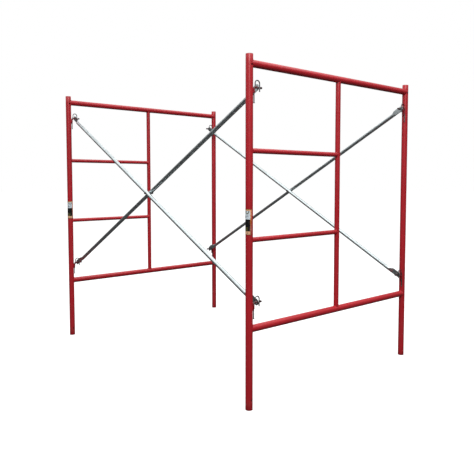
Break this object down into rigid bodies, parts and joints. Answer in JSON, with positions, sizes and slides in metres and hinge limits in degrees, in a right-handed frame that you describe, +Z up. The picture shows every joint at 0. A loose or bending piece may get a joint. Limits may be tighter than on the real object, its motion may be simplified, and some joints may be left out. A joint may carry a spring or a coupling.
{
  "type": "frame scaffold section",
  "caption": "Scaffold bay: two red tube end frames with half-width ladders, joined by crossed galvanised braces on keeper-locked studs.",
  "frame": {"origin": "on the floor, in the middle of the bay between the two end frames", "axes": "+X across the frames from the ladder side to the open side, +Y along the bay from the front frame to the rear frame, +Z up"},
  "size_m": [1.5657, 2.1752, 1.948],
  "materials": {
    "red_enamel": "glossy crimson enamel sprayed over welded steel tube",
    "galvanised": "galvanised steel tube, dull bright grey with faint spangle",
    "zinc_plate": "zinc plated steel wire and bolts",
    "label_vinyl": "printed vinyl patch in plain colour blocks, no text"
  },
  "bodies": {
    "section": {"front_left_leg": "red_enamel", "front_left_upper_stud": "red_enamel", "front_left_upper_keeper_sleeve": "red_enamel", "front_left_lower_stud": "red_enamel", "front_left_lower_keeper_sleeve": "red_enamel", "front_right_leg": "red_enamel", "front_right_upper_stud": "red_enamel", "front_right_upper_keeper_sleeve": "red_enamel", "front_right_lower_stud": "red_enamel", "front_right_lower_keeper_sleeve": "red_enamel", "front_top_rail": "red_enamel", "front_bottom_rail": "red_enamel", "front_centre_post": "red_enamel", "front_upper_rung": "red_enamel", "front_lower_rung": "red_enamel", "rear_left_leg": "red_enamel", "rear_left_upper_stud": "red_enamel", "rear_left_upper_keeper_sleeve": "red_enamel", "rear_left_lower_stud": "red_enamel", "rear_left_lower_keeper_sleeve": "red_enamel", "rear_right_leg": "red_enamel", "rear_right_upper_stud": "red_enamel", "rear_right_upper_keeper_sleeve": "red_enamel", "rear_right_lower_stud": "red_enamel", "rear_right_lower_keeper_sleeve": "red_enamel", "rear_top_rail": "red_enamel", "rear_bottom_rail": "red_enamel", "rear_centre_post": "red_enamel", "rear_upper_rung": "red_enamel", "rear_lower_rung": "red_enamel", "left_brace_bolt": "zinc_plate", "left_brace_nut": "zinc_plate", "right_brace_bolt": "zinc_plate", "right_brace_nut": "zinc_plate", "left_rising_brace": "galvanised", "left_falling_brace": "galvanised", "right_rising_brace": "galvanised", "right_falling_brace": "galvanised", "front_label": "label_vinyl", "rear_label": "label_vinyl"},
    "front_left_upper_keeper_body": {"front_left_upper_keeper": "zinc_plate"},
    "front_left_lower_keeper_body": {"front_left_lower_keeper": "zinc_plate"},
    "front_right_upper_keeper_body": {"front_right_upper_keeper": "zinc_plate"},
    "front_right_lower_keeper_body": {"front_right_lower_keeper": "zinc_plate"},
    "rear_left_upper_keeper_body": {"rear_left_upper_keeper": "zinc_plate"},
    "rear_left_lower_keeper_body": {"rear_left_lower_keeper": "zinc_plate"},
    "rear_right_upper_keeper_body": {"rear_right_upper_keeper": "zinc_plate"},
    "rear_right_lower_keeper_body": {"rear_right_lower_keeper": "zinc_plate"}
  },
  "joints": [
    {"name": "front_left_upper_keeper_lift", "type": "slide", "parent": "section", "child": "front_left_upper_keeper_body", "axis": [0, 0, 1], "range_m": [0, 0.051]},
    {"name": "front_left_lower_keeper_lift", "type": "slide", "parent": "section", "child": "front_left_lower_keeper_body", "axis": [0, 0, 1], "range_m": [0, 0.051]},
    {"name": "front_right_upper_keeper_lift", "type": "slide", "parent": "section", "child": "front_right_upper_keeper_body", "axis": [0, 0, 1], "range_m": [0, 0.051]},
    {"name": "front_right_lower_keeper_lift", "type": "slide", "parent": "section", "child": "front_right_lower_keeper_body", "axis": [0, 0, 1], "range_m": [0, 0.051]},
    {"name": "rear_left_upper_keeper_lift", "type": "slide", "parent": "section", "child": "rear_left_upper_keeper_body", "axis": [0, 0, 1], "range_m": [0, 0.051]},
    {"name": "rear_left_lower_keeper_lift", "type": "slide", "parent": "section", "child": "rear_left_lower_keeper_body", "axis": [0, 0, 1], "range_m": [0, 0.051]},
    {"name": "rear_right_upper_keeper_lift", "type": "slide", "parent": "section", "child": "rear_right_upper_keeper_body", "axis": [0, 0, 1], "range_m": [0, 0.051]},
    {"name": "rear_right_lower_keeper_lift", "type": "slide", "parent": "section", "child": "rear_right_lower_keeper_body", "axis": [0, 0, 1], "range_m": [0, 0.051]}
  ]
}
